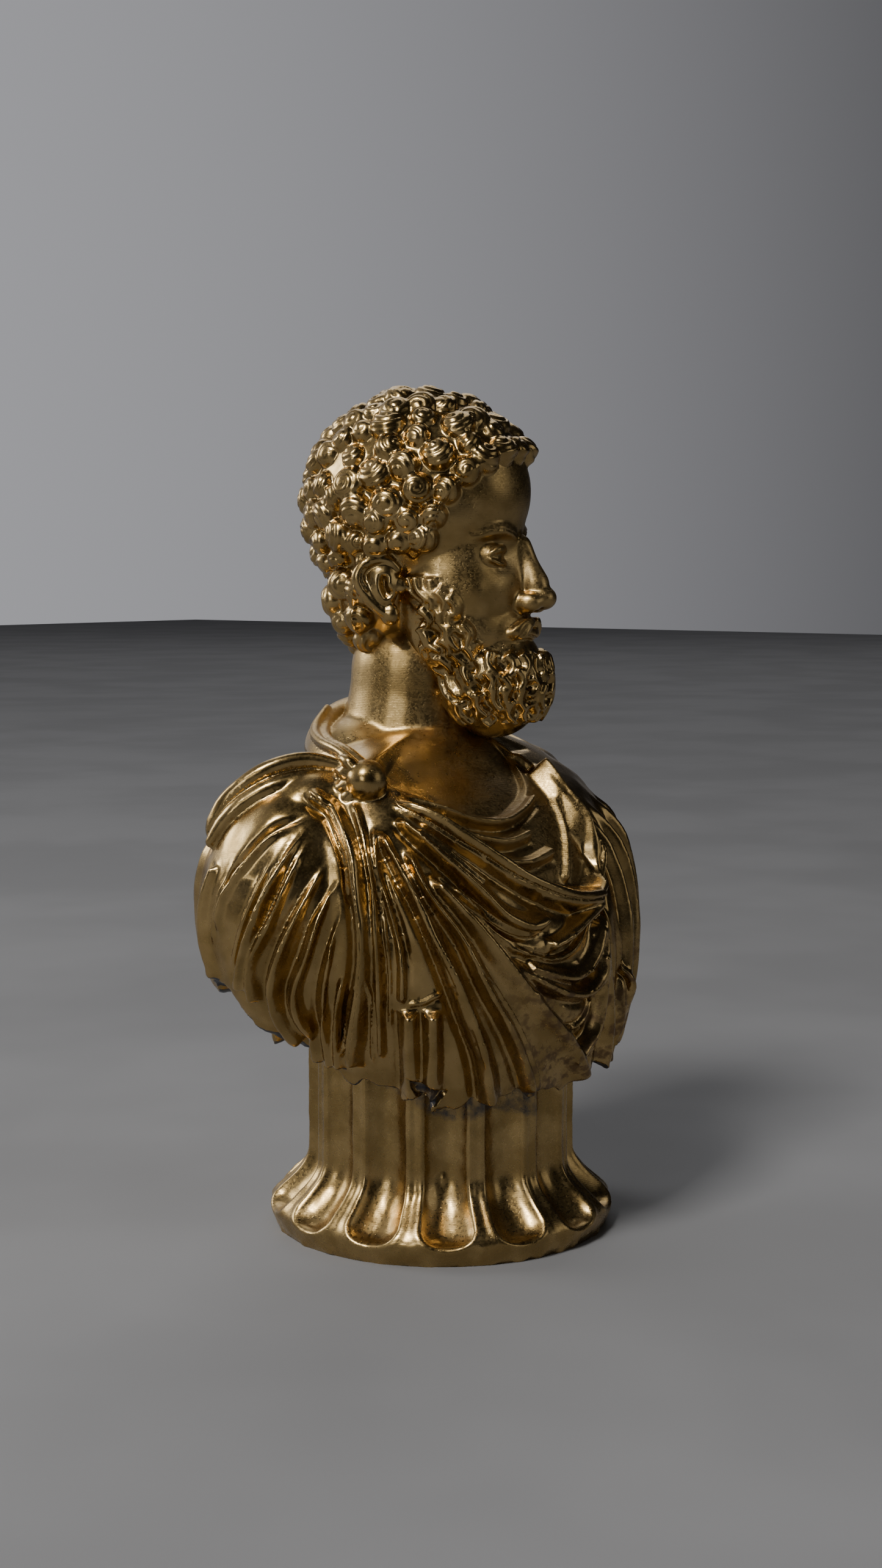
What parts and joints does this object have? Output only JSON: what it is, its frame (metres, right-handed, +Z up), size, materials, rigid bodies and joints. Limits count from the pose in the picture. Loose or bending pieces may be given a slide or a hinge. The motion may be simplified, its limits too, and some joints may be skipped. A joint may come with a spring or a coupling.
{
  "type": "roman emperor bust",
  "caption": "Gold-painted souvenir bust of a bearded, curly-haired Roman emperor in a draped cloak pinned at the shoulder, on a short fluted round socle.",
  "frame": {"origin": "centre of the socle's flat underside, on the socle's upright axis", "axes": "+Z up, the chest faces -Y, +X towards the figure's left shoulder"},
  "size_m": [0.0932, 0.063, 0.1496],
  "materials": {
    "gold_paint": "sprayed metallic gold over a blue-grey plastic casting, satin to glossy, with a fine flake"
  },
  "bodies": {
    "root": {"emperor_bust": "gold_paint"}
  },
  "joints": []
}
